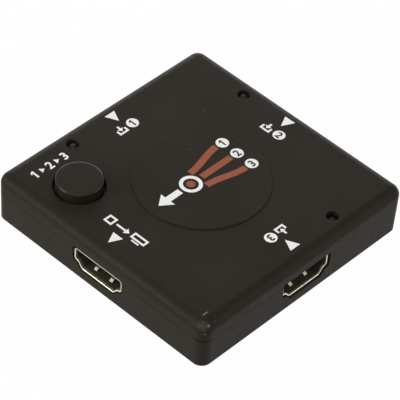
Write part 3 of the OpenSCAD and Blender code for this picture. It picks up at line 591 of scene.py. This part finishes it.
lid = merged_copy("upper_shell")
for chosen, radius in (
    (on_outer_wall, OPENING_ROUND),
    (on_button_hole, BUTTON_HOLE_ROUND),
    (on_lamp_hole, LAMP_HOLE_ROUND),
    (on_pad, PAD_ROUND),
):
    rounded(lid, sharp_edges(lid, chosen), radius)
finished_piece(lid, "upper_shell_moulding", case_plastic, "case", ["upper_shell"])

# Select button: a round hollow cap with a flange under the roof and a stem down to the push switch.
# It is moulded in the case's colour with a smoother, satin surface.
CAP_D = 11.0 * MM
CAP_EDGE = 0.5 * MM
CAP_WALL = 1.2 * MM
FLANGE_H = 0.8 * MM
FLANGE_PLAY = 0.1 * MM
ROOF_T = 1.5 * MM
STEM_D = 3.0 * MM
CAP_DARK = (0.0178, 0.0142, 0.0102, 1)
CAP_LIGHT = (0.0206, 0.0166, 0.0121, 1)
low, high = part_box("select_button")
cap_r, flange_r, stem_r = CAP_D / 2, (high.x - low.x) / 2, STEM_D / 2
flange_top = roof_z - ROOF_T - FLANGE_PLAY
profile = np.vstack([
    [[0, high.z]],
    arc((cap_r - CAP_EDGE, high.z - CAP_EDGE), CAP_EDGE, 90, 0, 12),
    [[cap_r, flange_top], [flange_r, flange_top], [flange_r, flange_top - FLANGE_H]],
    [[cap_r - CAP_WALL, flange_top - FLANGE_H], [cap_r - CAP_WALL, high.z - CAP_WALL]],
    [[stem_r, high.z - CAP_WALL], [stem_r, low.z], [0, low.z]],
])
cap = grid_work(revolved(profile, (low + high) / 2, 96))
satin = plain_moulding("satin_button_plastic", CAP_DARK, CAP_LIGHT, 0.22, 0.14 * MM)
satin.node_tree.nodes["Principled BSDF"].inputs["Specular IOR Level"].default_value = 0.2
finished_piece(cap, "select_button_cap", satin, "select_button", ["select_button"])

# Roof marks: white screen ink. Arrows point in at the inputs and out at the output, and plain numbers
# name the inputs. The outlines are in millimetres, seen from above, and turned to their side of the roof.
INK_T = 0.02 * MM
INK_SUNK = 0.005 * MM
INK_WHITE = (0.82, 0.82, 0.79, 1)
INK_WHITE_THIN = (0.74, 0.74, 0.71, 1)
STROKE = 0.52
DISC_R = 1.5
DISC_FIGURE_H = 2.1


def screen_ink(name, full, thin):
    """Opaque ink: slightly thinner in soft blotches, matt, with the grain of the plastic below."""
    material, tree, shader, place = new_finish(name)
    tone = mixed(tree, spread(tree, speckle(tree, place, 0.7 * MM, 3), 0, 1), thin, full)
    tree.links.new(tone, shader.inputs["Base Color"])
    tree.links.new(spread(tree, speckle(tree, place, 0.5 * MM), 0.45, 0.6), shader.inputs["Roughness"])
    shader.inputs["Specular IOR Level"].default_value = 0.2
    raised(tree, shader, speckle(tree, place, GRAIN), 0.008 * MM, 0.25)
    return material


def ring(radius, middle, steps=48):
    """Closed circle of points."""
    return arc(middle, radius, 0, 360, steps + 1)[:-1]


def band(path, width):
    """Closed outline of a stroke: the path moved half a width to its left, and back along its right."""
    path = np.asarray(path, float)
    along = np.gradient(path, axis=0)
    along /= np.linalg.norm(along, axis=1, keepdims=True)
    left = np.column_stack([-along[:, 1], along[:, 0]]) * width / 2
    return np.vstack([path + left, (path - left)[::-1]])


def oblong(x0, y0, x1, y1):
    """Closed rectangle of points."""
    return np.array([[x0, y0], [x1, y0], [x1, y1], [x0, y1]])


def hollow_oblong(x0, y0, x1, y1):
    """Outer and inner loop of a rectangle drawn with one stroke."""
    return oblong(x0, y0, x1, y1), oblong(x0 + STROKE, y0 + STROKE, x1 - STROKE, y1 - STROKE)


def arrow(tail, tip, shaft_w, head_w, head_len):
    """Closed outline of a straight arrow."""
    tail, tip = np.asarray(tail, float), np.asarray(tip, float)
    ahead = (tip - tail) / np.linalg.norm(tip - tail)
    left = np.array([-ahead[1], ahead[0]])
    neck = tip - head_len * ahead
    half, wing = left * shaft_w / 2, left * head_w / 2
    return np.array([tail + half, tail - half, neck - half, neck - wing, tip, neck + wing, neck + half])


def figure_one(height, middle):
    """Closed outline of a 1: an upright stem with a slanting flag, drawn 2 high and scaled to a height."""
    shape = [[-0.15, -1], [0.27, -1], [0.27, 1], [-0.1, 1], [-0.55, 0.58], [-0.55, 0.2], [-0.15, 0.48]]
    return middle + np.array(shape) * height / 2


def figure(number, height, middle, weight=0.18):
    """A round figure's outline in the built-in typeface: its cubic stretches sampled, scaled to a height,
    centred, and moved out along its own normals by half the weight. A 1 is drawn with straight lines."""
    if number == 1:
        return figure_one(height, middle)
    text = bpy.data.objects.new("figure", bpy.data.curves.new("figure", "FONT"))
    text.data.body = str(number)
    bpy.context.scene.collection.objects.link(text)
    bpy.ops.object.select_all(action="DESELECT")
    text.select_set(True)
    bpy.context.view_layer.objects.active = text
    bpy.ops.object.convert(target="CURVE")
    knots = text.data.splines[0].bezier_points
    here, before, after = (
        np.array([getattr(knot, part)[:2] for knot in knots])
        for part in ("co", "handle_left", "handle_right")
    )
    bpy.data.objects.remove(text)
    there, towards = np.roll(here, -1, 0), np.roll(before, -1, 0)
    t = np.linspace(0, 1, 8, endpoint=False)[:, None, None]
    steps = (1 - t) ** 3 * here + t ** 3 * there
    steps = steps + 3 * (1 - t) * t * ((1 - t) * after + t * towards)
    loop = steps.transpose(1, 0, 2).reshape(-1, 2)
    low, high = loop.min(0), loop.max(0)
    loop = (loop - (low + high) / 2) * (height - weight) / (high[1] - low[1])
    along = np.roll(loop, -1, 0) - np.roll(loop, 1, 0)
    along /= np.linalg.norm(along, axis=1, keepdims=True)
    turn = np.sign(np.sum(loop[:, 0] * along[:, 1] - loop[:, 1] * along[:, 0]))
    return middle + loop + turn * np.column_stack([along[:, 1], -along[:, 0]]) * weight / 2


def printed(name, ink, slot, base_z, turn, loops):
    """A film of ink sunk a little into a flat: its loops turned, and filled so that inner ones are holes."""
    drawing = bpy.data.curves.new(name, "CURVE")
    drawing.dimensions = "2D"
    drawing.fill_mode = "BOTH"
    for loop in loops:
        spline = drawing.splines.new("POLY")
        spline.points.add(len(loop) - 1)
        flat = np.column_stack([loop, np.zeros(len(loop)), np.ones(len(loop))])
        spline.points.foreach_set("co", flat.ravel())
        spline.use_cyclic_u = True
    drawing.extrude = INK_T / MM / 2
    sketch = bpy.data.objects.new(name, drawing)
    mesh = bpy.data.meshes.new_from_object(sketch)
    bpy.data.objects.remove(sketch)
    lift = Matrix.Translation((0, 0, base_z + INK_T / 2 - INK_SUNK))
    mesh.transform(lift @ Matrix.Rotation(math.radians(turn), 4, "Z") @ Matrix.Scale(MM, 4))
    work = bmesh.new()
    work.from_mesh(mesh)
    bpy.data.meshes.remove(mesh)
    bmesh.ops.remove_doubles(work, verts=work.verts[:], dist=WELD)
    bmesh.ops.recalc_face_normals(work, faces=work.faces[:])
    finished_piece(work, name, ink, "case")


white = screen_ink("white_ink", INK_WHITE, INK_WHITE_THIN)
on_roof_white = (white, "white_print", roof_z)
INPUT_MARKS = {1: (0, (0, 0)), 2: (-90, (0, 0)), 3: (180, (0.2, -0.57))}
OUTPUT_TURN = -90
pointer = np.array([[-1.54, 29.43], [0, 26.25], [1.54, 29.43]])
left, right, foot, top = -3.2, -0.4, 22.4, 23.9
tray_mark = np.array([
    [left, top], [left, foot], [right, foot], [right, top],
    [right - STROKE, top], [right - STROKE, foot + STROKE],
    [left + STROKE, foot + STROKE], [left + STROKE, top],
])
way_in = arrow((-1.8, 25.1), (-1.8, 23.2), STROKE, 1.6, 0.95)
for number, (turn, drift) in INPUT_MARKS.items():
    spot = np.add((1.8, 23.7), drift)
    printed(f"input_{number}_pointer", *on_roof_white, turn, [pointer + drift])
    disc = [ring(DISC_R, spot), figure(number, DISC_FIGURE_H, spot)]
    printed(f"input_{number}_number", *on_roof_white, turn, disc)
    printed(f"input_{number}_way_in", *on_roof_white, turn, [tray_mark + drift, way_in + drift])

output_pointer = np.array([[-1.5, -26.27], [0, -29.36], [1.5, -26.27]])
printed("output_pointer", *on_roof_white, OUTPUT_TURN, [output_pointer])
printed("output_way_out", *on_roof_white, OUTPUT_TURN, [
    *hollow_oblong(-5.8, -25.2, -3.4, -22.8),
    arrow((-2.7, -24), (1.2, -24), STROKE, 1.9, 1.2),
    *hollow_oblong(1.9, -24.6, 6.1, -22.7),
    oblong(2.9, -25.3, 5.1, -24.9),
])
SELECT_X, SELECT_Y = -21.9, 26.25
SELECT_SPACING = 4.5
SELECT_FIGURE_H = 2.4
for number in INPUT_MARKS:
    spot = (SELECT_X + SELECT_SPACING * (number - 2), SELECT_Y)
    printed(f"select_number_{number}", *on_roof_white, 0, [figure(number, SELECT_FIGURE_H, spot)])
step = np.array([[-0.5, 0.8], [0.65, 0], [-0.5, -0.8]])
steps = [step + (SELECT_X + side * SELECT_SPACING / 2, SELECT_Y) for side in (-1, 1)]
printed("select_steps", *on_roof_white, 0, steps)

# Pad diagram: three brick red lines led into one, screen-printed on the pad in the middle of the roof.
# White discs number the lines, and a white ring and arrow show the single way out.
INK_BRICK = (0.290, 0.080, 0.034, 1)
INK_BRICK_THIN = (0.240, 0.062, 0.026, 1)
HUB = (-3.0, 0.4)
LANES = {1: 5.0, 2: 0.4, 3: -4.2}
LANE_W = 1.7
LANE_X = 10
LANE_DISC_X, LANE_DISC_R = 12, 1.55
LANE_SPREAD = 48
LANE_GAP = 3.5
HUB_DOT_R, HUB_IN_R, HUB_OUT_R = 1.05, 1.8, 2.7
WAY_OUT_X = (-6.4, -13.3)
WAY_OUT_HEAD_W, WAY_OUT_HEAD_LEN = 4.4, 3.0
brick = screen_ink("brick_ink", INK_BRICK, INK_BRICK_THIN)
on_pad_white, on_pad_brick = (white, "white_print", pad_z), (brick, "brick_print", pad_z)
t = np.linspace(0, 1, 24)
lanes = []
for start, angle in zip(LANES.values(), np.radians([LANE_SPREAD, 0, -LANE_SPREAD])):
    end = np.array(HUB) + LANE_GAP * np.array([np.cos(angle), np.sin(angle)])
    path = np.column_stack([LANE_X + (end[0] - LANE_X) * t, start + (end[1] - start) * smooth_step(t)])
    lanes.append(band(path, LANE_W))
printed("diagram_lanes", *on_pad_brick, 0, lanes + [ring(HUB_DOT_R, HUB)])
for number, y in LANES.items():
    spot = (LANE_DISC_X, y)
    disc = [ring(LANE_DISC_R, spot), figure(number, DISC_FIGURE_H, spot)]
    printed(f"diagram_number_{number}", *on_pad_white, 0, disc)
printed("diagram_hub", *on_pad_white, 0, [ring(HUB_OUT_R, HUB), ring(HUB_IN_R, HUB)])
tail, tip = ((x, HUB[1]) for x in WAY_OUT_X)
way_out = arrow(tail, tip, LANE_W, WAY_OUT_HEAD_W, WAY_OUT_HEAD_LEN)
printed("diagram_way_out", *on_pad_white, 0, [way_out])

# Stage: a round sheet of white paper that lies flat under the box and curves up all round, far away.
# The box stands on it, and it isn't part of the box.
SWEEP_R = 1.4
SWEEP_RISE = 0.45
SHEET_DROP = 0.02 * MM
PAPER = (0.8, 0.8, 0.8, 1)
PAPER_GLOW = 0.975


def white_sheet():
    """Paper that takes the box's shadow; camera, glossy and clear rays see it nearly pure white."""
    material, tree, shader, _ = new_finish("white_sheet")
    shader.inputs["Base Color"].default_value = PAPER
    shader.inputs["Roughness"].default_value = 0.9
    shader.inputs["Specular IOR Level"].default_value = 0
    rays = tree.nodes.new("ShaderNodeLightPath")
    seen = rays.outputs["Is Camera Ray"]
    for ray in ("Is Glossy Ray", "Is Transmission Ray"):
        seen = combined(tree, "MAXIMUM", seen, rays.outputs[ray])
    glow = tree.nodes.new("ShaderNodeEmission")
    both = tree.nodes.new("ShaderNodeMixShader")
    tree.links.new(spread(tree, seen, 0, PAPER_GLOW, 0, 1), both.inputs["Fac"])
    tree.links.new(shader.outputs["BSDF"], both.inputs[1])
    tree.links.new(glow.outputs["Emission"], both.inputs[2])
    tree.links.new(both.outputs["Shader"], tree.nodes["Material Output"].inputs["Surface"])
    return material


rise = arc((SWEEP_R - SWEEP_RISE, SWEEP_RISE), SWEEP_RISE, -90, 0, 12)
sheet = bpy.data.meshes.new("white_sheet")
sweep = revolved(np.vstack([[[0, 0]], rise]), (0, 0))
sheet.from_pydata(sweep.reshape(-1, 3), [], grid_faces(*sweep.shape[:2]))
sheet.transform(Matrix.Translation((0, 0, -SHEET_DROP)))
sheet.materials.append(white_sheet())
floor = bpy.data.objects.new("white_sheet", sheet)
bpy.context.scene.collection.objects.link(floor)

# Light: an even room and five soft lamps that face the box. Two hang high up in front of it and behind,
# and three stand low round it, the brightest on the left where it draws a line along the top edge.
ROOM_LIGHT = 0.4
world = bpy.data.worlds.new("studio")
world.use_nodes = True
world.node_tree.nodes["Background"].inputs["Color"].default_value = (1, 1, 1, 1)
world.node_tree.nodes["Background"].inputs["Strength"].default_value = ROOM_LIGHT
bpy.context.scene.world = world


def soft_lamp(name, place, size, power):
    """Square area lamp at a place, facing the box."""
    lamp = bpy.data.lights.new(name, "AREA")
    lamp.shape = "SQUARE"
    lamp.size = size
    lamp.energy = power
    holder = bpy.data.objects.new(name, lamp)
    bpy.context.scene.collection.objects.link(holder)
    holder.location = place
    holder.rotation_mode = "QUATERNION"
    holder.rotation_quaternion = holder.location.to_track_quat("Z", "Y")


for name, place, size, power in (
    ("overhead_front", (-0.25, -0.27, 0.88), 0.55, 1.7),
    ("overhead_back", (-0.10, 0.45, 0.83), 0.5, 0.8),
    ("left_side", (-0.76, 0.44, 0.35), 0.5, 6.0),
    ("back", (0.68, 0.60, 0.18), 0.7, 4.2),
    ("right_front", (0.55, -0.70, 0.36), 0.6, 2.2),
):
    soft_lamp(name, place, size, power)

# Camera: the photograph's viewpoint, high over the front corner between output and third input.
# Its axes and lens are worked out from the corners and edges of the box.
EYE = (-0.324272, -0.279150, 0.421289)
RIGHT = (0.69391088, -0.71757990, 0.05972252)
DOWN = (-0.47136427, -0.51538097, -0.71568022)
LENS = 237.57
camera = bpy.data.objects.new("camera", bpy.data.cameras.new("camera"))
camera.data.lens = LENS
camera.data.sensor_width = 36
camera.data.clip_start, camera.data.clip_end = 0.05, 10
axes = np.column_stack([RIGHT, np.negative(DOWN), np.cross(DOWN, RIGHT), EYE])
camera.matrix_world = Matrix(np.vstack([axes, [0, 0, 0, 1]]).tolist())
bpy.context.scene.collection.objects.link(camera)
bpy.context.scene.camera = camera
bpy.context.scene.view_settings.view_transform = "Standard"
